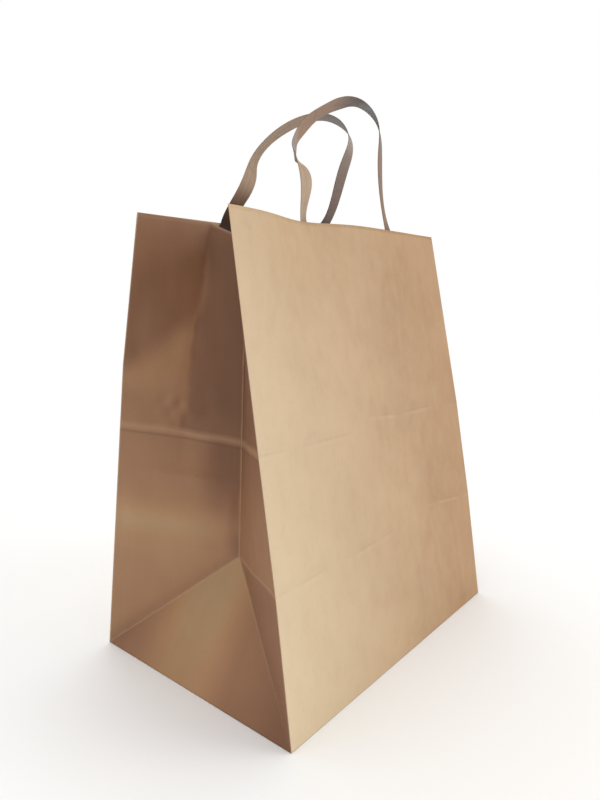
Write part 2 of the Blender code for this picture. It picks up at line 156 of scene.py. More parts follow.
def gusset_half(hand, side, shares, heights):
    """Grid of one half of a gusset. Above the mitre it is ruled by straight lines from the
    panel's edge to the middle crease, and below it the mitre parts a leaning flat triangle
    from the rest. The back half is bent once more, like a tent over each ruled line: the
    soft crease stands out by the height of the triangle whose sides are that line and the
    paper on both sides of the crease, by Heron's formula, fading in from the tip by a square
    root. Near the mouth the tent is turned upwards by the lift."""
    corner_x = hand * WIDTH / 2
    edge = wall(side, corner_x, heights)
    foot = np.array([corner_x, 0.0, BASE_LEVEL])
    tip = foot + HALF * np.array([-hand * math.cos(TRIANGLE_SLOPE), 0.0, math.sin(TRIANGLE_SLOPE)])
    top = meeting_point(
        wall(FRONT, corner_x, HEIGHT),
        wall(BACK, corner_x, HEIGHT),
        tip,
        (HALF, HALF * GUSSET_DRAW[hand], HEIGHT - HALF),
        np.array([-hand, 0.0, 0.0]),
    )
    rise = np.clip((heights - HALF) / (HEIGHT - HALF), 0.0, 1.0)
    chord = tip + (top - tip) * rise[:, None] - edge
    corner, mitre_end = edge[0], wall(side, corner_x, HALF)
    inwards = shares[None, :, None]
    upwards = np.clip(heights / HALF, 0.0, 1.0)[:, None, None]
    triangle = corner + inwards * (foot - corner) + upwards * (tip - foot)
    beside = corner + inwards * (tip - mitre_end) + upwards * (mitre_end - corner)
    above = edge[:, None] + inwards * chord[:, None]
    below = np.where(inwards >= upwards, triangle, beside)
    grid = np.where(heights[:, None, None] > HALF, above, below)
    if side == FRONT:
        return grid
    span = np.linalg.norm(chord, axis=1)
    bend = np.interp(heights, [UPPER_CREASE, SOFT_BEND, HEIGHT], SOFT_CREASES[hand]) / HALF
    outer, inner = HALF * bend, HALF * (1 - bend)
    half_sum = (outer + inner + span) / 2
    squared = half_sum * (half_sum - outer) * (half_sum - inner) * (half_sum - span)
    bulge = 2 * np.sqrt(np.clip(squared, 0.0, None)) / span * np.sqrt(rise)
    place = shares[None, :]
    tent = np.minimum(place / bend[:, None], (1 - place) / (1 - bend[:, None]))
    out = np.stack([-chord[:, 1], chord[:, 0], np.zeros(len(chord))], axis=-1)
    out *= np.sign(out[:, 1:2])
    out /= np.linalg.norm(out, axis=1, keepdims=True)
    raised = np.cross(chord / span[:, None], out)
    raised *= np.sign(raised[:, 2:])
    turn = SOFT_LIFTS[hand] * ramp(heights, UPPER_CREASE, HEIGHT)[:, None]
    out = np.cos(turn) * out + np.sin(turn) * raised
    return grid + (bulge[:, None] * tent)[..., None] * out[:, None]


def grid_normals(grid):
    """Unit normal at each grid point from the cross product of its two directions."""
    across = np.gradient(grid, axis=1)
    up = np.gradient(grid, axis=0)
    normal = np.cross(across, up)
    return normal / np.maximum(np.linalg.norm(normal, axis=2, keepdims=True), 1e-12)


# Relief of the wide panels. A fold holds the paper flat beside it as far as FOLD_HOLD, and
# the glued strip takes its share of the relief away between STRIP_HOLD's two heights. Each
# panel is a little hollow, and its hollow starts between HOLLOW_FOOT's two heights.
FOLD_HOLD = 0.030
STRIP_HOLD = (0.215, 0.262)
STRIP_HOLD_SHARE = 0.85
PANEL_HOLLOWS = {FRONT: 0.0022, BACK: 0.0015}
HOLLOW_FOOT = (0.02, 0.15)

# A soft slanting dent low on the front panel's left: its place, depth, half width, half
# length, and the cosine and sine of its turn.
LOW_DENT = (0.033, 0.035)
LOW_DENT_SIZE = (0.0007, 0.009, 0.020)
LOW_DENT_TURN = (0.84, 0.54)


def held_hollow(side, u, v, waves):
    """Ripple and a hollow, half a sine wave across the panel, times the share that nothing
    holds flat, which is a product of smooth steps from the folds and down to the strip."""
    hollow = PANEL_HOLLOWS[side] * np.sin(math.pi * u / WIDTH) * ramp(v, *HOLLOW_FOOT)
    free = ramp(u, 0.0, FOLD_HOLD) * ramp(WIDTH - u, 0.0, FOLD_HOLD) * ramp(v, 0.0, FOLD_HOLD)
    return free * (1.0 - STRIP_HOLD_SHARE * ramp(v, *STRIP_HOLD)) * (waves - hollow)


def front_relief(u, v):
    """How far the front panel stands out: its hollow with ripple, less the low dent, which
    is one bell curve over its width times one along its length."""
    depth, half_width, half_length = LOW_DENT_SIZE
    cosine, sine = LOW_DENT_TURN
    aside, up = u - LOW_DENT[0], v - LOW_DENT[1]
    over, along = aside * cosine + up * sine, up * cosine - aside * sine
    dent = depth * bell(over, 0.0, half_width) * bell(along, 0.0, half_length)
    waves = 0.0005 * ripple(u, v, 0.09, 11, 1.6) + 0.00016 * ripple(u, v, 0.034, 12, 1.8)
    return held_hollow(FRONT, u, v, waves) - dent


def back_relief(u, v):
    """How far the back panel stands out: its hollow with ripple."""
    waves = 0.0007 * ripple(u, v, 0.10, 21, 1.5) + 0.0002 * ripple(u, v, 0.035, 22)
    return held_hollow(BACK, u, v, waves)


def panel_face(side, across, height):
    """Point of a wide panel with its relief, and its outward unit normal, which is the
    cross product of the panel's slopes across and up, taken over a short step."""
    step = 1e-4
    across, height = np.broadcast_arrays(np.asarray(across, float), np.asarray(height, float))
    point = wall(side, across, height)
    tangent = wall(side, across + step, height) - wall(side, across - step, height)
    low, high = np.maximum(height - step, 0.0), np.minimum(height + step, HEIGHT)
    out = np.cross(tangent, wall(side, across, high) - wall(side, across, low)) * side
    out /= np.linalg.norm(out, axis=-1, keepdims=True)
    relief = front_relief if side == FRONT else back_relief
    return point + relief(across + WIDTH / 2, height)[..., None] * out, out


def gusset_relief(hand, side, shares, heights):
    """How far half a gusset stands out of its ruled form: ripple, and in the back half of
    the left one four marks made of bell curves and smooth steps. Smooth steps bring all of
    it to nothing on the creases, the mitre and the foot."""
    s, h = np.broadcast_arrays(shares[None, :], heights[:, None])
    below = h < HALF
    hold = 0.012
    from_mitre = np.abs(s - h / HALF) * HALF
    from_tip = np.hypot(h - HALF, (1 - s) * HALF)
    free_below = ramp(from_mitre, 0.0, hold) * ramp(h, 0.0, hold)
    free = np.where(below, free_below, ramp(from_tip, 0.0, hold))
    free = free * ramp(s, 0.0, 0.12) * ramp(1 - s, 0.0, 0.10)
    crease = 1 - 0.85 * bell(h, UPPER_CREASE, 0.006)
    seed = 31 + 3 * (hand == RIGHT) + 7 * (side == FRONT)
    relief = 0.0006 * ripple(s * HALF, h, 0.055, seed, 1.4)
    relief = relief + 0.0002 * ripple(s * HALF, h, 0.022, seed + 1)
    if hand == LEFT and side == BACK:
        bulge = 0.0022 * bell(h, 0.104 + 0.016 * s, 0.012) * ramp(s, 0.0, 0.2)
        hollow = 0.0016 * bell(h, 0.223 + 0.010 * s, 0.016) * (1 - ramp(s, 0.35, 0.7))
        ridge = 0.0012 * bell(h, 0.212, 0.012) * (1 - ramp(s, 0.35, 0.75))
        pucker = 0.0010 * bell(h, 0.186, 0.006) * bell(s, 0.60, 0.08)
        relief = 0.6 * relief + bulge - hollow + ridge + pucker
    return relief * free * np.where(below, 1.0, crease)


# Where the left gusset's tones part: rows of a height and the soft crease's share in from
# the back panel, and rows of a share and the height where the light that falls in ends.
SOFT_LINE = ((0.170, 0.49), (0.189, 0.51), (0.221, 0.56), (0.247, 0.59), (0.261, 0.64), (0.283, 0.67))
LIGHT_EDGE = ((0.0, 0.217), (0.17, 0.227), (0.55, 0.251), (0.64, 0.268))
PLAIN_TONE = 0.75


def gusset_tone(hand, side, shares, heights):
    """Lightness share of half a gusset's paper, from 0.4 to 1: painted light and shade. It is
    darker towards the mouth and beside the middle crease, painted shade inside the fold that
    the broad light of the stage does not give, and lighter where painted light falls in. Each
    tone is a sum of marks, which are products of smooth steps and bell curves, and the right
    gusset's tones are nearer to the plain one."""
    s, h = np.broadcast_arrays(shares[None, :], heights[:, None])
    if side == BACK:
        # The back half: a patch of painted light where light falls in, a painted lit crest before the soft
        # crease and painted shade behind it, painted shade beside the middle crease, and a band of painted
        # light low down.
        soft = np.interp(h, *np.transpose(SOFT_LINE)) + 0.02 * ripple(s * HALF, h, 0.025, 63)
        past_soft = ramp(s - soft, -0.04, 0.05)
        edge = np.interp(s, *np.transpose(LIGHT_EDGE)) + 0.003 * ripple(s * HALF, h, 0.03, 51)
        lit = (1 - ramp(h, edge - 0.018, edge + 0.010)) * (1 - ramp(s - soft, -0.12, 0.04))
        lit = 0.32 * lit * (0.62 + 0.38 * ramp(h, 0.188, 0.212))
        crest = 0.11 * bell(s, soft - 0.03, 0.024) * (1 - ramp(h, 0.25, 0.28))
        behind = 0.09 * past_soft * ramp(h, 0.17, 0.20)
        before = 0.05 * (1 - past_soft) * ramp(s, 0.15, 0.35) * ramp(h, 0.24, 0.28)
        middle = 0.05 * bell(s, 0.5, 0.22) * bell(h, 0.26, 0.035)
        mouth = 0.04 * ramp(h, 0.306, 0.318)
        puckers = 0.14 * bell(s, 0.47, 0.14) * bell(h, 0.190, 0.011) * ripple(s * HALF, h, 0.012, 61)
        cloudy = 0.02 * ripple(s * HALF, h, 0.022, 62, 1.5)
        upper = 0.54 + 0.05 * (1 - s) + lit + crest - behind + before + middle + mouth
        upper = upper + puckers + cloudy
        by_crease = 0.26 * ramp(s, 0.60, 0.84) * ramp(h, 0.104, 0.150)
        band = 0.22 * bell(h, 0.102 + 0.004 * s, 0.015) * (1 - 0.6 * ramp(s, 0.66, 1.0))
        foot = 0.10 * (1 - ramp(h, 0.080, 0.100))
        over_tip = 0.22 * bell(s, 0.97, 0.07) * bell(h, 0.101, 0.009)
        mitre_ends = 0.45 + 0.55 * np.abs(2 * s - 1)
        over_mitre = 0.13 * bell(h - s * HALF, 0.003, 0.007) * mitre_ends * (h < 0.105)
        lower = 0.76 - by_crease + band + foot - over_tip - over_mitre
        tone = np.where(h > UPPER_CREASE, upper, lower)
        triangle = 0.74 + 0.26 * ramp(s, 0.25, 0.75) - 0.10 * bell(s, 0.1, 0.12)
    else:
        # The front half: painted shade, deepest towards the mouth, and its triangle painted lighter
        # towards the middle crease.
        below_tip = 0.13 * (1 - ramp(h, HALF - 0.004, HALF + 0.002))
        tone = 0.40 + 0.29 * (1 - ramp(h, 0.095, 0.230)) - below_tip
        triangle = 1.0 - 0.30 * (1 - ramp(s, 0.58, 1.0)) - 0.18 * (1 - ramp(s, 0.05, 0.60))
    # The triangles are painted with shade at the foot.
    triangle = triangle - 0.06 * (1 - ramp(h, 0.0, 0.055))
    tone = np.where(s >= h / HALF, triangle, tone)
    strength = 1.0 if hand == LEFT else 0.6
    return PLAIN_TONE + (tone - PLAIN_TONE) * strength


# The two level creases of the front panel were folded by machine with the bag still full of
# air, so they wander and step: rows of a place across it and how far up the crease is there.
LOW_WANDER = ((0.0, 0.0), (0.120, 0.0005), (0.149, 0.0040), (0.192, 0.0078), (0.255, 0.0010))
HIGH_WANDER = (
    (0.0, 0.0), (0.050, -0.001), (0.102, -0.002), (0.107, 0.0085),
    (0.161, 0.003), (0.203, 0.0035), (0.257, 0.0),
)


def fold_heights(u):
    """Heights of the two level creases, each its own height on the sheet and straight lines
    between its rows."""
    low, high = (np.interp(u, *np.transpose(rows)) for rows in (LOW_WANDER, HIGH_WANDER))
    return HALF + low, UPPER_CREASE + high


# How far apart the points of the mesh are, across the panels and gussets and up the sheet.
PANEL_STEP = 0.0040
GUSSET_STEP = 0.0020
RISE_STEP = 0.0030
panel_across = spaced([-WIDTH / 2, WIDTH / 2], PANEL_STEP, [-WIDTH / 2, WIDTH / 2])
shares = spaced([0.0, HALF], GUSSET_STEP, [0.0, HALF]) / HALF
level_folds = [HALF, UPPER_CREASE, BACK_BEND]
above_mitre = spaced([*level_folds, HEIGHT], RISE_STEP, level_folds)
heights = np.unique(np.round(np.concatenate([shares * HALF, above_mitre]), 7))


def body_rings():
    """Points of the tube's outer face, one ring a row, each column's run along the flat
    sheet in metres, and each point's tone. A ring goes round by the front panel, the right
    gusset, the back panel and the left gusset, and each part starts after its first column,
    which the part before it has already laid."""
    parts, runs, tones = [], [], []
    start = 0.0
    for side, hand in ((FRONT, RIGHT), (BACK, LEFT)):
        grid, _ = panel_face(side, panel_across[None, :] * side, heights[:, None])
        parts.append(grid[:, 1:])
        tones.append(np.ones(grid[:, 1:, 0].shape))
        runs.append(start + panel_across[1:] + WIDTH / 2)
        start += WIDTH
        for half in (side, -side):
            grid = gusset_half(hand, half, shares, heights)
            stand = gusset_relief(hand, half, shares, heights)
            tone = gusset_tone(hand, half, shares, heights)
            run = shares
            if half != side:
                grid, stand, tone = grid[:, ::-1], stand[:, ::-1], tone[:, ::-1]
                run = 1 - shares[::-1]
            grid = grid + stand[..., None] * grid_normals(grid)
            parts.append(grid[:, 1:])
            tones.append(tone[:, 1:])
            runs.append(start + run[1:] * HALF)
            start += HALF
    return np.concatenate(parts, axis=1), np.concatenate(runs), np.concatenate(tones, axis=1)


def grid_quads(rows, columns, closed):
    """Quads of a grid whose points are numbered row by row: each joins a point and the next
    one in its row to the two above them. A closed row goes on from its last point to its
    first."""
    row, column = np.meshgrid(np.arange(rows - 1), np.arange(columns - 1 + closed), indexing="ij")
    after = (column + 1) % columns
    low, high = row * columns, (row + 1) * columns
    return np.stack([low + column, low + after, high + after, high + column], axis=-1)


def mesh_piece(name, points, quads, uv, material):
    """Smooth object from arrays: points, quads whose last two corners may be the same for a
    triangle, and one UV pair for each face corner."""
    mesh = bpy.data.meshes.new(name)
    corner_count = np.where(quads[:, 2] == quads[:, 3], 3, 4)
    keep = np.ones(quads.shape, bool)
    keep[:, 3] = corner_count == 4
    mesh.vertices.add(len(points))
    mesh.vertices.foreach_set("co", np.ascontiguousarray(points, np.float32).ravel())
    mesh.loops.add(int(corner_count.sum()))
    mesh.loops.foreach_set("vertex_index", quads[keep].astype(np.int32))
    mesh.polygons.add(len(quads))
    starts = np.concatenate([[0], np.cumsum(corner_count)[:-1]])
    mesh.polygons.foreach_set("loop_start", starts.astype(np.int32))
    mesh.polygons.foreach_set("use_smooth", np.ones(len(quads), bool))
    layer = mesh.uv_layers.new(name="sheet")
    layer.data.foreach_set("uv", np.ascontiguousarray(uv[keep], np.float32).ravel())
    mesh.update(calc_edges=True)
    mesh.validate()
    mesh.materials.append(material)
    piece = bpy.data.objects.new(name, mesh)
    bpy.context.scene.collection.objects.link(piece)
    return piece


def linear(code):
    """sRGB hex colour as linear RGBA: each channel through the sRGB curve."""
    value = np.array([int(code[k:k + 2], 16) for k in (1, 3, 5)]) / 255
    value = np.where(value <= 0.04045, value / 12.92, ((value + 0.055) / 1.055) ** 2.4)
    return (*value.tolist(), 1.0)


def put(tree, kind, inputs=(), output=0, stops=(), **settings):
    """Adds a shader node and gives back one of its outputs. The settings are its properties,
    the inputs give sockets, by name or in their order, a value or the output that each is
    linked from, and the stops are a colour ramp's places and hex colours."""
    node = tree.nodes.new("ShaderNode" + kind)
    for key, value in settings.items():
        setattr(node, key, value)
    for key, value in inputs.items() if isinstance(inputs, dict) else enumerate(inputs):
        if isinstance(value, bpy.types.NodeSocket):
            tree.links.new(value, node.inputs[key])
        else:
            node.inputs[key].default_value = value
    if stops:
        ends = node.color_ramp.elements
        while len(ends) < len(stops):
            ends.new(0.5)
        for end, (place, code) in zip(ends, stops):
            end.position = place
            end.color = linear(code)
    return node.outputs[output]


def new_material(name, roughness, ior, specular):
    """Empty material with its constant values on the shader's own sockets."""
    material = bpy.data.materials.new(name)
    material.use_nodes = True
    shader = material.node_tree.nodes["Principled BSDF"]
    shader.inputs["Metallic"].default_value = 0.0
    shader.inputs["Roughness"].default_value = roughness
    shader.inputs["IOR"].default_value = ior
    shader.inputs["Specular IOR Level"].default_value = specular
    return material, material.node_tree, shader


def fold_line(tree, offset, reach, strength):
    """Share of the paper that a fold's line covers: the strength where the offset is nothing,
    falling straight to nothing at the reach on both sides of it."""
    away = put(tree, "Math", (offset,), operation="ABSOLUTE")
    return put(tree, "MapRange", {"Value": away, "From Max": reach, "To Min": strength, "To Max": 0.0})


# Unbleached kraft paper, machine glazed: cloudy brown with streaks up the web, short darker
# fibres, and paler broken fibres along each fold. The glazed face gives a broad soft gloss.
# Each pattern has its size across and up the web in mm, its detail and its roughness. Real
# fibres are 0.03 mm wide and about 2 mm long, and are drawn far coarser, so that they show.
KRAFT_PATTERNS = {
    "broad": (71.43, 71.43, 2.0, 0.5),
    "clouds": (10.53, 19.14, 4.0, 0.6),
    "streaks": (6.25, 104.2, 3.0, 0.5),
    "fibres": (1.613, 5.76, 2.0, 0.7),
    "wander": (16.67, 16.67, 2.0, 0.5),
    "breaks": (26.32, 26.32, 1.0, 0.5),
}
FOLD_WANDER = 0.0018
RUB_REACH = 0.0011
RUB_SHARE = 0.40
kraft, tree, shader = new_material("machine_glazed_kraft_paper", 0.52, 1.5, 0.5)
sheet = put(tree, "UVMap", uv_map="sheet")
run, rise, _ = put(tree, "SeparateXYZ", (sheet,)).node.outputs
given = put(tree, "Attribute", output="Vector", attribute_name="folds_and_tone")
from_low, from_high, tone = put(tree, "SeparateXYZ", (given,)).node.outputs
patterns = {}
for name, (across, up, detail, roughness) in KRAFT_PATTERNS.items():
    at = put(tree, "Mapping", {"Vector": sheet, "Scale": (1000 / across, 1000 / up, 1.0)})
    drawn = {"Vector": at, "Scale": 1.0, "Detail": detail, "Roughness": roughness}
    patterns[name] = put(tree, "TexNoise", drawn)
base = put(tree, "ValToRGB", (patterns["broad"],), stops=((0.30, "#AA8053"), (0.70, "#B98F62")))

# The front panel is set paler towards its left edge and its foot, by an uneven share: painted
# sheen and light. The other faces take one plain share.
across_share = put(tree, "MapRange", {"Value": run, "From Max": 0.25, "To Min": 1.0, "To Max": 0.03})
across_share = put(tree, "Math", (across_share, 1.35), operation="POWER")
up_range = {"Value": rise, "From Min": 0.03, "From Max": 0.30, "To Min": 0.90, "To Max": 0.50}
up_share = put(tree, "MapRange", up_range)
uneven = put(tree, "Math", (patterns["clouds"], 0.30, -0.15), operation="MULTIPLY_ADD")
paler = put(tree, "Math", (across_share, up_share, uneven), operation="MULTIPLY_ADD")
on_front = put(tree, "Math", (run, WIDTH), operation="LESS_THAN")
paler = put(tree, "Mix", {0: on_front, 2: 0.21, 3: paler}, data_type="FLOAT")
marks = [(paler, "#E5D0AD")]

# Clouds, streaks and fibres: where in its pattern each starts, where it is full, and how
# much of the paper under it its colour covers there. A colour mix takes the share at its
# socket 0, the colours under and over it at 6 and 7, and gives the new one at output 2.
for name, start, full, share, colour in (
    ("clouds", 0.50, 0.80, 0.0685, "#A98258"),
    ("streaks", 0.48, 0.75, 0.0802, "#D2B591"),
    ("fibres", 0.60, 0.78, 0.1441, "#8A6540"),
):
    reach = {"Value": patterns[name], "From Min": start, "From Max": full, "To Max": share}
    marks.append((put(tree, "MapRange", reach), colour))
for share, colour in marks:
    base = put(tree, "Mix", {0: share, 6: base, 7: linear(colour)}, output=2, data_type="RGBA")

# The tone worked out above is painted light and shade: it darkens the gussets, a little towards
# red, like the shade in a deep fold of brown paper.
PAINTED_SHADE_STOPS = ((0.36, "#AA8F91"), (0.68, "#E0CACA"), (0.92, "#FFEFEA"), (1.0, "#FFFFFF"))
painted_shade = put(tree, "ValToRGB", (tone,), stops=PAINTED_SHADE_STOPS)
darkened = {0: 1.0, 6: base, 7: painted_shade}
base = put(tree, "Mix", darkened, output=2, data_type="RGBA", blend_type="MULTIPLY")

# The left gusset's folds are worn pale: the upper crease, the middle crease above the tip,
# the mitres, which are fainter in front, and the low crease in front of the tip.
wander = (patterns["wander"], FOLD_WANDER, -FOLD_WANDER / 2)
wander = put(tree, "Math", wander, operation="MULTIPLY_ADD")
from_middle = put(tree, "Math", (run, 2 * WIDTH + DEPTH + HALF), operation="SUBTRACT")
aside = put(tree, "Math", (from_middle,), operation="ABSOLUTE")
over_tip = put(tree, "Math", (rise, HALF), operation="SUBTRACT")
from_mitre = put(tree, "Math", (aside, over_tip), operation="ADD")
in_gusset = put(tree, "Math", (aside, HALF), operation="LESS_THAN")
above_tip = put(tree, "Math", (over_tip, 0.0), operation="GREATER_THAN")
in_front = put(tree, "Math", (from_middle, 0.0), operation="GREATER_THAN")
all_share = put(tree, "Math", (in_gusset, 0.55), operation="MULTIPLY")
upper_share = put(tree, "Math", (all_share, above_tip), operation="MULTIPLY")
front_share = put(tree, "Math", (all_share, in_front), operation="MULTIPLY")
mitre_share = put(tree, "Math", (front_share, -0.8, all_share), operation="MULTIPLY_ADD")
worn = 0.0
for offset, reach, share in (
    (from_high, 0.0040, all_share),
    (from_middle, 0.0015, upper_share),
    (from_mitre, 0.0016, mitre_share),
    (over_tip, 0.0014, front_share),
):
    here = put(tree, "Math", (offset, wander), operation="ADD")
    worn = put(tree, "Math", (worn, fold_line(tree, here, reach, share)), operation="MAXIMUM")
# Painted shadow: a dark line 4 mm under the upper crease on the left gusset.
under = put(tree, "Math", (from_high, 0.0040), operation="ADD")
under_share = put(tree, "Math", (in_gusset, 0.26), operation="MULTIPLY")
marks = [(worn, "#C6A079"), (fold_line(tree, under, 0.0016, under_share), "#5A3C28")]

# The front panel's level creases are broken lines of painted shade and light: a dark one with a
# softer dark zone over it, and a pale rim under it as a painted highlight. The upright folds are
# rubbed pale all the way up.
broken_range = {"Value": patterns["breaks"], "From Min": 0.38, "From Max": 0.60}
broken = put(tree, "Math", (put(tree, "MapRange", broken_range), on_front), operation="MULTIPLY")
rim_share = put(tree, "Math", (broken, 0.12), operation="MULTIPLY")
for offset, strength in ((from_low, 0.13), (from_high, 0.12)):
    here = put(tree, "Math", (offset, wander), operation="ADD")
    over = put(tree, "Math", (here, 0.0030), operation="SUBTRACT")
    beneath = put(tree, "Math", (here, 0.0026), operation="ADD")
    line_share = put(tree, "Math", (broken, strength), operation="MULTIPLY")
    zone_share = put(tree, "Math", (line_share, 0.5), operation="MULTIPLY")
    line = fold_line(tree, here, 0.0016, line_share)
    zone = fold_line(tree, over, 0.0045, zone_share)
    marks.append((put(tree, "Math", (line, zone), operation="MAXIMUM"), "#7A5A3A"))
    marks.append((fold_line(tree, beneath, 0.0020, rim_share), "#E2C8A4"))
WHOLE_RUN = 2 * (WIDTH + DEPTH)
for edge in (0.0, WIDTH, WIDTH + DEPTH, 2 * WIDTH + DEPTH, WHOLE_RUN):
    from_edge = put(tree, "Math", (run, edge), operation="SUBTRACT")
    marks.append((fold_line(tree, from_edge, RUB_REACH, RUB_SHARE), "#E4CBA8"))
for share, colour in marks:
    base = put(tree, "Mix", {0: share, 6: base, 7: linear(colour)}, output=2, data_type="RGBA")
tree.links.new(base, shader.inputs["Base Color"])
relief = put(tree, "Math", (patterns["fibres"], 0.5, patterns["clouds"]), operation="MULTIPLY_ADD")
bump = put(tree, "Bump", {"Height": relief, "Strength": 0.10, "Distance": 0.0004})
tree.links.new(bump, shader.inputs["Normal"])

# The tube's mesh. Its UV map is the flat sheet in metres: the run round it and the height.
rings, ring_runs, ring_tones = body_rings()
n_rows, n_cols = rings.shape[:2]
quads = grid_quads(n_rows, n_cols, True)
corner_uv = np.stack([ring_runs[quads % n_cols], heights[quads // n_cols]], axis=-1)
corner_uv[:, -1, [0, 3], 0] -= WHOLE_RUN
quads, corner_uv = quads.reshape(-1, 4), corner_uv.reshape(-1, 4, 2)

# Along each mitre the grid squares are cut on the fold, the way the fold runs.
middle = (corner_uv[:, 0] + corner_uv[:, 2]) / 2
for centre in (WIDTH + HALF, 2 * WIDTH + DEPTH + HALF):
    offset = middle[:, 0] - centre
    on_fold = (np.abs(np.abs(offset) + middle[:, 1] - HALF) < 1e-5) & (middle[:, 1] < HALF)
    falling = on_fold & (offset > 0)
    quads[falling] = np.roll(quads[falling], 1, axis=1)
    corner_uv[falling] = np.roll(corner_uv[falling], 1, axis=1)
    cut = np.flatnonzero(on_fold)
    second, second_uv = quads[cut][:, [0, 2, 3, 3]], corner_uv[cut][:, [0, 2, 3, 3]]
    quads[cut] = quads[cut][:, [0, 1, 2, 2]]
    corner_uv[cut] = corner_uv[cut][:, [0, 1, 2, 2]]
    quads = np.concatenate([quads, second])
    corner_uv = np.concatenate([corner_uv, second_uv])
    middle = (corner_uv[:, 0] + corner_uv[:, 2]) / 2

# The floor of the block bottom: rings shrink from the walls' foot to a fan in the middle.
shrink = np.array([1.0 - FOLD_EASE / HALF, 0.7, 0.35])
floor_rings = np.stack([rings[0] * (k, k, 1.0) for k in shrink])
hub_point = [[0.0, 0.0, BASE_LEVEL]]
points = np.concatenate([rings.reshape(-1, 3), floor_rings.reshape(-1, 3), hub_point])
turn = np.arange(n_cols)
after = (turn + 1) % n_cols
ring_starts = [0] + [(n_rows + k) * n_cols for k in range(len(shrink))]
floor_quads = [
    np.stack([inner + turn, inner + after, outer + after, outer + turn], axis=-1)
    for outer, inner in zip(ring_starts[:-1], ring_starts[1:])
]
last = ring_starts[-1]
hub = np.full(n_cols, len(points) - 1)
floor_quads.append(np.stack([hub, last + after, last + turn, last + turn], axis=-1))
floor_quads = np.concatenate(floor_quads)

# Two mitred flaps of the same sheet close it below: the inner one, then the outer one
# glued over it, which is what the bag stands on.
FLAP_OVERLAP = 0.022
FLAP_INSET = 0.0005
near_half = WIDTH / 2 - 2 * FLAP_INSET
far_half = near_half - HALF - FLAP_OVERLAP / 2
for side, level in ((FRONT, PAPER), (BACK, 0.0)):
    y_near, y_far = side * (FLAP_INSET - HALF), side * FLAP_OVERLAP / 2
    flap = [(-near_half, y_near), (near_half, y_near), (far_half, y_far), (-far_half, y_far)]
    floor_quads = np.concatenate([floor_quads, len(points) + np.arange(4)[None]])
    points = np.concatenate([points, [(x, y, level) for x, y in flap[::-side]]])
floor_uv = points[floor_quads][..., :2] + (WIDTH / 2, -HALF)
quads = np.concatenate([quads, floor_quads])
corner_uv = np.concatenate([corner_uv, floor_uv])

# Each point also holds its height over the two level creases, which run over the front
# panel and lie level round the rest, and its tone. The floor counts as lying at the foot.
body = mesh_piece("folded_paper_body", points, quads, corner_uv, kraft)
low_folds, high_folds = fold_heights(np.where(ring_runs <= WIDTH, ring_runs, 0.0))
over_folds = heights[:, None] - low_folds, heights[:, None] - high_folds
on_tube = np.stack([*over_folds, ring_tones], axis=-1).reshape(-1, 3)
on_floor = np.tile([-HALF, -UPPER_CREASE, 1.0], (len(points) - len(on_tube), 1))
layer = body.data.attributes.new("folds_and_tone", "FLOAT_VECTOR", "POINT")
layer.data.foreach_set("vector", np.concatenate([on_tube, on_floor]).astype(np.float32).ravel())
wall_thickness = body.modifiers.new("paper", "SOLIDIFY")
wall_thickness.thickness = PAPER
wall_thickness.offset = -1.0
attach(body, "root")
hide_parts("bag_body")

# Each handle is a flat tape folded from kraft paper in several layers. It is not bent in
# its own plane, so it twists out of the mouth, over its loop and back to the panel.
TAPE_WIDTH = 0.0125
TAPE_THICKNESS = 0.0007
LEG_SPACING = 0.0995
LEG_GLUED = 0.040
HANDLE_RISE = 0.095
STRIP_DROP = 0.010
STRIP_TOP = HEIGHT - STRIP_DROP
LEG_SHIFTS = {FRONT: 0.0083, BACK: 0.0045}

# The glue is left as a thin gap, and a leg stands a little further off at the mouth.
GLUE_GAP = 0.0003
MOUTH_EASE = 0.0003

# The tape's twist at the mouth in degrees, on its left and right leg. Then each loop's rows:
# a place across in shares of the legs' half spacing, the place into the bag and up over the
# mouth in shares of the rise, and the twist in degrees.
MOUTH_TWISTS = {FRONT: (17, 169), BACK: (173, 375)}
LOOPS = {
    FRONT: np.array((
        (-1.027, 0.096, 0.249, 2),
        (-1.056, 0.139, 0.400, 23),
        (-1.083, 0.180, 0.456, 43),
        (-1.076, 0.193, 0.488, 31),
        (-1.015, 0.208, 0.581, 28),
        (-0.850, 0.210, 0.686, 27),
        (-0.427, 0.192, 0.854, 45),
        (0.048, 0.140, 0.968, 56),
        (0.357, 0.092, 0.974, 98),
        (0.613, 0.033, 0.859, 138),
        (0.761, 0.043, 0.627, 162),
    )),
    BACK: np.array((
        (-0.953, 0.195, 0.247, 174),
        (-0.831, 0.201, 0.368, 177),
        (-0.631, 0.160, 0.525, 203),
        (-0.002, 0.305, 0.849, 227),
        (0.603, 0.516, 0.894, 289),
        (0.778, 0.586, 0.772, 332),
        (0.805, 0.529, 0.540, 362),
        (0.984, 0.236, 0.057, 370),
    )),
}


def seat(side, across, height, off):
    """Point that stands off the panel's inner face, with the directions across the panel
    and up it there."""
    step = 5e-4
    here, out = panel_face(side, across, height)
    ahead, _ = panel_face(side, across + step, height)
    behind, _ = panel_face(side, across - step, height)
    along = ahead - behind
    along /= np.linalg.norm(along)
    up = np.cross(out, along) * side
    return here - out * (PAPER + off), along, up / np.linalg.norm(up)


def tape_axes(directions):
    """For each direction of the tape, the level axis across it and the axis nearest +Y, which
    is +Y less its part along the tape. The cross product of the two gives the other."""
    depth_axis = np.array([0.0, 1.0, 0.0])
    nearest = depth_axis - directions * (directions @ depth_axis)[:, None]
    nearest /= np.linalg.norm(nearest, axis=1, keepdims=True)
    return np.cross(nearest, directions), nearest


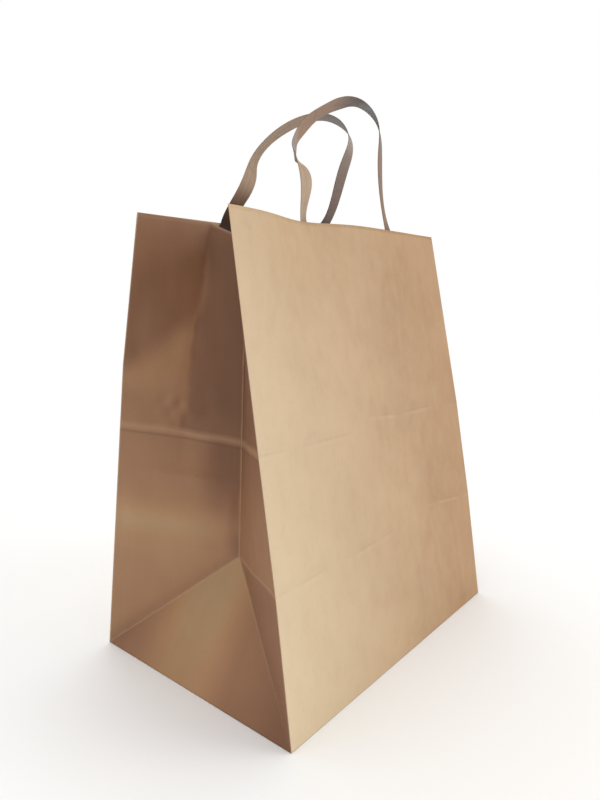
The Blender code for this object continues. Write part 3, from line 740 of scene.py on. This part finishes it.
def natural_spline(knots, values, places):
    """Natural cubic spline through values at the knots, read at the places: its second
    differences solve the usual three-band system."""
    steps = np.diff(knots)
    n = len(knots)
    values = values.reshape(n, -1)
    slopes = np.diff(values, axis=0) / steps[:, None]
    system = np.eye(n)
    inner = np.arange(1, n - 1)
    system[inner, inner] = 2 * (steps[:-1] + steps[1:])
    system[inner, inner - 1] = steps[:-1]
    system[inner, inner + 1] = steps[1:]
    target = np.zeros_like(values)
    target[1:-1] = 6 * np.diff(slopes, axis=0)
    bends = np.linalg.solve(system, target)
    k = np.clip(np.searchsorted(knots, places, side="right") - 1, 0, n - 2)
    step = steps[k][:, None]
    u = (places - knots[k])[:, None] / step
    w = 1 - u
    bent = (w**3 - w) * bends[k] + (u**3 - u) * bends[k + 1]
    return values[k] * w + values[k + 1] * u + bent * step**2 / 6


def glued_twist(side, place, height, way, near):
    """Twist in degrees of the tape where it lies on the panel: the angle from the level axis
    to the panel's own level direction, on the turn nearest to the given twist."""
    _, along, up = seat(side, place, height, 0.0)
    level, nearest = tape_axes((way * up)[None])
    wanted = math.cos(math.radians(near)) * level[0] + math.sin(math.radians(near)) * nearest[0]
    edge = along * math.copysign(1.0, float(wanted @ along))
    turn = math.degrees(math.atan2(float(edge @ nearest[0]), float(edge @ level[0]))) - near
    return near + (turn + 180) % 360 - 180


def tape_line(side, count):
    """Middle line of a handle and its twist at evenly spaced places: up one glued leg, over
    the loop and down the other leg, as a natural spline through known points."""
    off = GLUE_GAP + TAPE_THICKNESS / 2
    middle_x = LEG_SHIFTS[side] * (1 - MOUTH_PULL)
    half_span = LEG_SPACING / 2 * (1 - MOUTH_PULL)
    _, mouth_y, mouth_z = wall(side, -WIDTH / 2, HEIGHT)
    glued = np.linspace(STRIP_TOP - LEG_GLUED, STRIP_TOP, 5)
    legs = []
    for way, near in zip((1, -1), MOUTH_TWISTS[side]):
        place = LEG_SHIFTS[side] - way * LEG_SPACING / 2
        turn = glued_twist(side, place, STRIP_TOP, way, near)
        ease = MOUTH_EASE + TAPE_WIDTH / 2 * abs(math.sin(math.radians(turn - near)))
        points = [seat(side, place, h, off)[0] for h in glued] + [seat(side, place, HEIGHT, off + ease)[0]]
        turns = [glued_twist(side, place, h, way, near) for h in glued] + [near]
        legs.append((np.array(points)[::way], np.array(turns)[::way]))
    across, lean, rise, turns = LOOPS[side].T
    loop = np.stack([
        middle_x + across * half_span,
        mouth_y + side * lean * HANDLE_RISE,
        mouth_z + rise * HANDLE_RISE,
    ], axis=-1)
    knots = np.concatenate([legs[0][0], loop, legs[1][0]])
    twist = np.radians(np.concatenate([legs[0][1], turns, legs[1][1]]))
    lengths = np.concatenate([[0.0], np.cumsum(np.linalg.norm(np.diff(knots, axis=0), axis=1))])
    places = np.linspace(0.0, lengths[-1], count)
    step = 2e-5
    centre = natural_spline(lengths, knots, places)
    ahead = natural_spline(lengths, knots, np.clip(places + step, 0, lengths[-1]))
    behind = natural_spline(lengths, knots, np.clip(places - step, 0, lengths[-1]))
    directions = ahead - behind
    directions /= np.linalg.norm(directions, axis=1, keepdims=True)
    return places, centre, directions, natural_spline(lengths, twist, places)


# Rows along each tape: a place in metres, how light the paper is painted there, and how grey.
# They are painted light and shade: the legs are darkest where they go down between the panels.
TAPE_TONES = {
    FRONT: np.array((
        (0.030, 0.45, 0.00), (0.045, 0.45, 0.00), (0.050, 0.90, 0.00), (0.056, 1.00, 0.00),
        (0.095, 1.00, 0.00), (0.102, 0.92, 0.45), (0.108, 0.70, 0.50), (0.113, 0.82, 0.20),
        (0.120, 0.70, 0.05), (0.150, 0.65, 0.05), (0.168, 0.61, 0.15), (0.178, 0.46, 0.35),
        (0.186, 0.40, 0.50), (0.196, 0.60, 0.95), (0.206, 0.56, 0.80), (0.214, 0.50, 0.60),
        (0.222, 0.58, 0.40), (0.232, 0.62, 0.20), (0.250, 0.61, 0.05), (0.285, 0.62, 0.05),
        (0.296, 0.40, 0.00),
    )),
    BACK: np.array((
        (0.030, 0.15, 0.00), (0.050, 0.20, 0.00), (0.058, 0.35, 0.00), (0.070, 0.66, 0.00),
        (0.083, 0.95, 0.00), (0.092, 1.00, 0.00), (0.110, 0.98, 0.05), (0.125, 0.97, 0.05),
        (0.160, 0.94, 0.10), (0.172, 0.78, 0.30), (0.180, 0.56, 0.70), (0.200, 0.56, 0.70),
        (0.207, 0.82, 0.50), (0.212, 0.94, 0.40), (0.222, 0.66, 0.35), (0.250, 0.58, 0.30),
        (0.278, 0.50, 0.20), (0.290, 0.22, 0.10),
    )),
}
TAPE_ROWS = 300
TAPE_CORNERS = 32
WIDE_POWER = 0.5
THICK_POWER = 0.3


def tape_mesh(name, side, material):
    """The tape: a long rounded section, a superellipse whose cosine and sine are raised to
    powers below one, is carried along the middle line, and a fan closes each end. Its UV map
    is the place along the tape in metres and the share of the way round it."""
    places, centre, directions, twist = tape_line(side, TAPE_ROWS)
    level, nearest = tape_axes(directions)
    across = np.cos(twist) * level + np.sin(twist) * nearest
    through = np.cross(directions, across)
    turn = np.linspace(0, 2 * math.pi, TAPE_CORNERS, endpoint=False)
    cosine, sine = np.cos(turn), np.sin(turn)
    wide = np.sign(cosine) * np.abs(cosine) ** WIDE_POWER * TAPE_WIDTH / 2
    thick = np.sign(sine) * np.abs(sine) ** THICK_POWER * TAPE_THICKNESS / 2
    rings = centre[:, None] + across[:, None] * wide[:, None] + through[:, None] * thick[:, None]
    n, m = rings.shape[:2]
    quads = grid_quads(n, m, True)
    uv = np.stack([places[quads // m], (quads % m) / m], axis=-1)
    uv[:, -1, [1, 2], 1] = 1.0
    ring = np.arange(m)
    after = (ring + 1) % m
    last = (n - 1) * m
    start = np.stack([np.full(m, n * m), after, ring, ring], axis=-1)
    end = np.stack([np.full(m, n * m + 1), last + ring, last + after, last + after], axis=-1)
    points = np.concatenate([rings.reshape(-1, 3), centre[[0, -1]]])
    quads = np.concatenate([quads.reshape(-1, 4), start, end])
    uv = np.concatenate([uv.reshape(-1, 4, 2), np.zeros((2 * m, 4, 2))])
    piece = mesh_piece(name, points, quads, uv, material)
    stops, tones, greys = TAPE_TONES[side].T
    on_rows = np.interp(places, stops, tones), np.interp(places, stops, greys), 0 * places
    on_rows = np.stack(on_rows, axis=-1)
    on_points = np.concatenate([np.repeat(on_rows, m, axis=0), on_rows[[0, -1]]])
    layer = piece.data.attributes.new("tone_and_grey", "FLOAT_VECTOR", "POINT")
    layer.data.foreach_set("vector", on_points.astype(np.float32).ravel())
    return piece


# Folded kraft tape: several layers pressed flat, greyer and more matt than the bag's paper.
# Faint lines run along it where the layers end, darkened on both edges by painted shade, and short
# creases cross it where it twists.
# Each pattern has its size along and round the tape in mm, and its detail. Its grain is the
# paper's fibres, drawn coarser, so that they show.
TAPE_ROUND = 2 * (TAPE_WIDTH + TAPE_THICKNESS)
TAPE_PATTERNS = {
    "patchy": (22.22, 0.5867, 2.0),
    "grain": (5.714, 1.257, 1.0),
    "creases": (5.263, 34.74, 1.0),
}
tape, tree, shader = new_material("folded_kraft_tape", 0.62, 1.5, 0.4)
sheet = put(tree, "UVMap", uv_map="sheet")
_, around, _ = put(tree, "SeparateXYZ", (sheet,)).node.outputs
given = put(tree, "Attribute", output="Vector", attribute_name="tone_and_grey")
tone, grey, _ = put(tree, "SeparateXYZ", (given,)).node.outputs
patterns = {}
for name, (along, round_it, detail) in TAPE_PATTERNS.items():
    drawn = (1000 / along, 1000 * TAPE_ROUND / round_it, 1.0)
    at = put(tree, "Mapping", {"Vector": sheet, "Scale": drawn})
    patterns[name] = put(tree, "TexNoise", {"Vector": at, "Scale": 1.0, "Detail": detail})
base = put(tree, "ValToRGB", (patterns["patchy"],), stops=((0.35, "#AD937B"), (0.65, "#BBA087")))

# The tape is darkened by its tone, which is painted shade. Its layers end along both edges and
# on one face, and the dark lines along both edges are painted shade on the tape's thin edges as
# well: each line's share of the way round, how far it reaches and how dark it is.
TAPE_PAINTED_SHADE = ((0.0, "#201814"), (0.45, "#B0A4A4"), (0.70, "#DCCFCD"), (1.0, "#FFFFFF"))
shaded = put(tree, "ValToRGB", (tone,), stops=TAPE_PAINTED_SHADE)
darkened = {0: 1.0, 6: base, 7: shaded}
base = put(tree, "Mix", darkened, output=2, data_type="RGBA", blend_type="MULTIPLY")
EDGE_SHADE_AND_LAYER_LINES = ((0.0, 0.045, 0.55), (0.5, 0.045, 0.55), (1.0, 0.045, 0.55), (0.11, 0.012, 0.30))
marks = []
for place, reach, share in EDGE_SHADE_AND_LAYER_LINES:
    from_line = put(tree, "Math", (around, place), operation="SUBTRACT")
    marks.append((fold_line(tree, from_line, reach, share), "#54423A"))
for name, start, full, share, colour in (
    ("grain", 0.50, 0.80, 0.1170, "#7E654C"),
    ("creases", 0.60, 0.72, 0.1620, "#6B5A50"),
):
    reach = {"Value": patterns[name], "From Min": start, "From Max": full, "To Max": share}
    marks.append((put(tree, "MapRange", reach), colour))
for share, colour in marks:
    base = put(tree, "Mix", {0: share, 6: base, 7: linear(colour)}, output=2, data_type="RGBA")
# The grey takes colour out of the tape, as part of its painted light and shade.
left = put(tree, "Math", (1.0, grey), operation="SUBTRACT")
colour = put(tree, "HueSaturation", {"Saturation": left, "Color": base})
tree.links.new(colour, shader.inputs["Base Color"])
bump = put(tree, "Bump", {"Height": patterns["grain"], "Strength": 0.08, "Distance": 0.0003})
tree.links.new(bump, shader.inputs["Normal"])

for name, side in (("front_tape_handle", FRONT), ("rear_tape_handle", BACK)):
    piece = tape_mesh(name, side, tape)
    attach(piece, "root")
    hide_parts("front_handle" if side == FRONT else "rear_handle")

# A kraft strip is glued over the legs of each handle, inside the panel near the mouth. It
# steps over each leg and wrinkles a little where the glue has dried.
STRIP_WIDTH = 0.150
STRIP_HEIGHT = 0.045
STRIP_STEP = 0.0016
STRIP_ROWS = 24
STRIP_WRINKLE = 0.00012


def strip_grid(side):
    """Middle surface of the strip: it stands off the panel's inner face by the glue, and by
    the leg as well where it covers one, with a short slope on both sides of a leg. The
    wrinkle is the square of a ripple."""
    low = GLUE_GAP + PAPER / 2
    high = low + GLUE_GAP + TAPE_THICKNESS
    clear = TAPE_WIDTH / 2 + GLUE_GAP
    middle = LEG_SHIFTS[side]
    legs = np.array([middle - LEG_SPACING / 2, middle + LEG_SPACING / 2])
    stops = [middle - STRIP_WIDTH / 2, middle + STRIP_WIDTH / 2]
    stops += [leg + s * d for leg in legs for s in (-1, 1) for d in (clear, clear + STRIP_STEP)]
    columns = spaced(sorted(stops), 0.002, [])
    rows = np.linspace(STRIP_TOP - STRIP_HEIGHT, STRIP_TOP, STRIP_ROWS)
    from_leg = np.abs(columns[:, None] - legs).min(axis=1)
    off = np.interp(from_leg, [clear, clear + STRIP_STEP], [high, low])
    wrinkle = STRIP_WRINKLE * ripple(columns[None, :], rows[:, None], 0.016, 41 + side) ** 2
    face, out = panel_face(side, columns[None, :], rows[:, None])
    return face - out * (PAPER + off[None, :, None] + wrinkle[..., None]), columns, rows


# The strip's kraft paper is unglazed, so it has hardly any gloss, and the glue's damp has
# left soft darker spots. Each pattern has its size in mm, its detail and its roughness.
STRIP_PATTERNS = {"damp": (45.45, 2.0, 0.5), "clouds": (11.11, 4.0, 0.6)}
strip_paper, tree, shader = new_material("glued_kraft_strip", 0.75, 1.45, 0.3)
sheet = put(tree, "UVMap", uv_map="sheet")
patterns = {}
for name, (size, detail, roughness) in STRIP_PATTERNS.items():
    drawn = {"Vector": sheet, "Scale": 1000 / size, "Detail": detail, "Roughness": roughness}
    patterns[name] = put(tree, "TexNoise", drawn)
base = put(tree, "ValToRGB", (patterns["damp"],), stops=((0.35, "#A68A6B"), (0.65, "#B49A7A")))
reach = {"Value": patterns["clouds"], "From Min": 0.45, "From Max": 0.80, "To Max": 0.0802}
spots = put(tree, "MapRange", reach)
base = put(tree, "Mix", {0: spots, 6: base, 7: linear("#8C6D4C")}, output=2, data_type="RGBA")
tree.links.new(base, shader.inputs["Base Color"])
bump = put(tree, "Bump", {"Height": patterns["damp"], "Strength": 0.2, "Distance": 0.0006})
tree.links.new(bump, shader.inputs["Normal"])

for name, side in (("front_strip", FRONT), ("rear_strip", BACK)):
    grid, columns, rows = strip_grid(side)
    n, m = grid.shape[:2]
    quads = grid_quads(n, m, False)
    uv = np.stack([columns[quads % m], rows[quads // m]], axis=-1)
    if side == FRONT:
        quads, uv = quads[..., ::-1], uv[:, :, ::-1]
    quads, uv = quads.reshape(-1, 4), uv.reshape(-1, 4, 2)
    piece = mesh_piece(name, grid.reshape(-1, 3), quads, uv, strip_paper)
    layer = piece.modifiers.new("paper", "SOLIDIFY")
    layer.thickness = PAPER
    layer.offset = 0.0
    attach(piece, "root")
    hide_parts("front_handle_strip" if side == FRONT else "rear_handle_strip")

# The stage: a plain pale floor, soft low light from the front right, broad light from above
# and all round, and the eye where the picture was taken from.
FLOOR_REACH = 6.0
floor_mesh = bpy.data.meshes.new("pale_floor")
floor_corners = [(x * FLOOR_REACH, y * FLOOR_REACH, 0) for x, y in ((-1, -1), (1, -1), (1, 1), (-1, 1))]
floor_mesh.from_pydata(floor_corners, [], [(0, 1, 2, 3)])
floor = bpy.data.objects.new("pale_floor", floor_mesh)
bpy.context.scene.collection.objects.link(floor)
pale_board, _, floor_shader = new_material("pale_matt_board", 0.9, 1.45, 0.2)
floor_shader.inputs["Base Color"].default_value = linear("#F9F9F8")
floor_mesh.materials.append(pale_board)


def daylight(name, azimuth, elevation, softness, strength, colour):
    """Sun lamp that shines from an azimuth, counted from -Y towards +X, and an elevation,
    as soft as a sky patch of the given width, all in degrees. At strength one it lights a
    white sheet that faces it to full white."""
    data = bpy.data.lights.new(name, "SUN")
    data.angle = math.radians(softness)
    data.energy = strength * math.pi
    data.color = linear(colour)[:3]
    a, e = math.radians(azimuth), math.radians(elevation)
    away = np.array([math.sin(a) * math.cos(e), -math.cos(a) * math.cos(e), math.sin(e)])
    across = np.cross((0.0, 0.0, 1.0), away)
    across /= np.linalg.norm(across)
    lamp = bpy.data.objects.new(name, data)
    turned = np.column_stack([across, np.cross(away, across), away, away * 2])
    lamp.matrix_world = Matrix(np.vstack([turned, [0, 0, 0, 1]]).tolist())
    bpy.context.scene.collection.objects.link(lamp)


daylight("low_daylight", 40, 12, 36, 0.42, "#FFFDFA")
daylight("high_daylight", 165, 80, 70, 0.72, "#FFFFFF")

# The even light all round is weaker than the plain white that the eye sees behind the floor.
EVEN_LIGHT = 0.30
world = bpy.data.worlds.new("even_white")
bpy.context.scene.world = world
world.use_nodes = True
sky = world.node_tree
background = sky.nodes["Background"]
background.inputs["Color"].default_value = linear("#FFFFFF")
seen = put(sky, "LightPath", output="Is Camera Ray")
strength = put(sky, "MapRange", {"Value": seen, "To Min": EVEN_LIGHT, "To Max": 1.0})
sky.links.new(strength, background.inputs["Strength"])

# The eye, fitted to the bag's corners and creases in the picture: its size, focal length and
# centre in pixels, the place in metres, and the turns in degrees.
IMAGE_LONG = 800
IMAGE_WIDTH = 600
FOCAL = 622.9
PRINCIPAL = (290.1, 357.5)
EYE = (-0.3876, -0.3036, 0.2607)
YAW, PITCH, ROLL = np.radians((49.99, 5.44, 0.34))
SENSOR = 36.0
forward = np.array([math.sin(YAW) * math.cos(PITCH), math.cos(YAW) * math.cos(PITCH), -math.sin(PITCH)])
level_right = np.array([math.cos(YAW), -math.sin(YAW), 0.0])
level_up = np.cross(level_right, forward)
right = math.cos(ROLL) * level_right + math.sin(ROLL) * level_up
upward = -math.sin(ROLL) * level_right + math.cos(ROLL) * level_up
eye_data = bpy.data.cameras.new("eye")
eye_data.sensor_width = SENSOR
eye_data.lens = FOCAL * SENSOR / IMAGE_LONG
eye_data.shift_x = (IMAGE_WIDTH / 2 - PRINCIPAL[0]) / IMAGE_LONG
eye_data.shift_y = (PRINCIPAL[1] - IMAGE_LONG / 2) / IMAGE_LONG
eye_data.clip_start = 0.01
eye = bpy.data.objects.new("eye", eye_data)
turned = np.column_stack([right, upward, -forward, EYE])
eye.matrix_world = Matrix(np.vstack([turned, [0, 0, 0, 1]]).tolist())
bpy.context.scene.collection.objects.link(eye)
bpy.context.scene.camera = eye
bpy.context.scene.view_settings.view_transform = "Standard"
